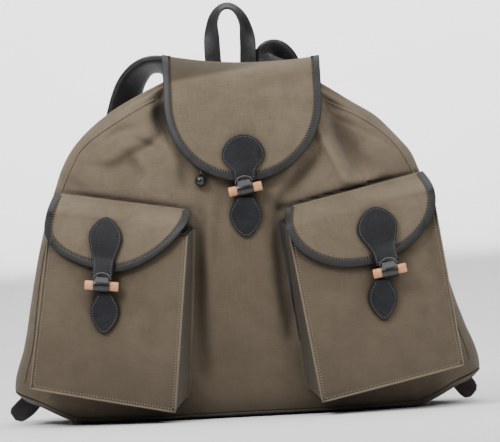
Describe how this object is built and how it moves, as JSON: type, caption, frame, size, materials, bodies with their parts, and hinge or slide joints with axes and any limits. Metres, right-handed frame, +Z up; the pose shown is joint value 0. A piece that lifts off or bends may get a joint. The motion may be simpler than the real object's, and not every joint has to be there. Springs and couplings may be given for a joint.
{
  "type": "hunting rucksack",
  "caption": "Olive-brown canvas hunting rucksack with a black leather-edged lid, bellows pockets, wooden toggle closures, padded shoulder straps and a carry loop.",
  "frame": {"origin": "middle of the flat underside, on the surface that the rucksack stands on", "axes": "+X to the rucksack's left side, the viewer's right seen from the front; +Y to the wearer's back; +Z up"},
  "size_m": [0.5632, 0.2418, 0.4903],
  "materials": {
    "canvas": "waxed matte cotton canvas in olive brown",
    "binding_leather": "thin black leather, matte, stitched",
    "tab_leather": "thick black leather, soft sheen, lightly worn",
    "strap_leather": "black leather, soft sheen",
    "peg_wood": "smooth pale wood with darker ends",
    "cord": "braided black cord",
    "stopper_plastic": "black, slightly glossy",
    "buckle_steel": "black lacquered steel wire"
  },
  "bodies": {
    "root": {"carry_loop": "strap_leather", "cord_stopper": "stopper_plastic", "drawcord": "cord", "drawcord_tail": "cord", "flap_binding_left": "binding_leather", "flap_binding_right": "binding_leather", "lid_binding": "binding_leather", "lid_flap": "canvas", "pocket_flap_left": "canvas", "pocket_flap_right": "canvas", "pocket_left": "canvas", "pocket_mouth_left": "binding_leather", "pocket_mouth_right": "binding_leather", "pocket_right": "canvas", "sack_back": "canvas", "sack_base": "canvas", "sack_front": "canvas", "sack_side_left": "canvas", "sack_side_right": "canvas", "strap_buckle_left": "buckle_steel", "strap_buckle_right": "buckle_steel", "strap_chape_left": "strap_leather", "strap_chape_right": "strap_leather", "strap_keeper_left": "strap_leather", "strap_keeper_right": "strap_leather", "strap_lower_left": "strap_leather", "strap_lower_right": "strap_leather", "strap_pad_left": "strap_leather", "strap_pad_right": "strap_leather", "tab_lower_left": "tab_leather", "tab_lower_lid": "tab_leather", "tab_lower_right": "tab_leather", "tab_upper_left": "tab_leather", "tab_upper_lid": "tab_leather", "tab_upper_right": "tab_leather", "toggle_loop_left": "tab_leather", "toggle_loop_lid": "tab_leather", "toggle_loop_right": "tab_leather", "toggle_peg_left": "peg_wood", "toggle_peg_lid": "peg_wood", "toggle_peg_right": "peg_wood"}
  },
  "joints": []
}
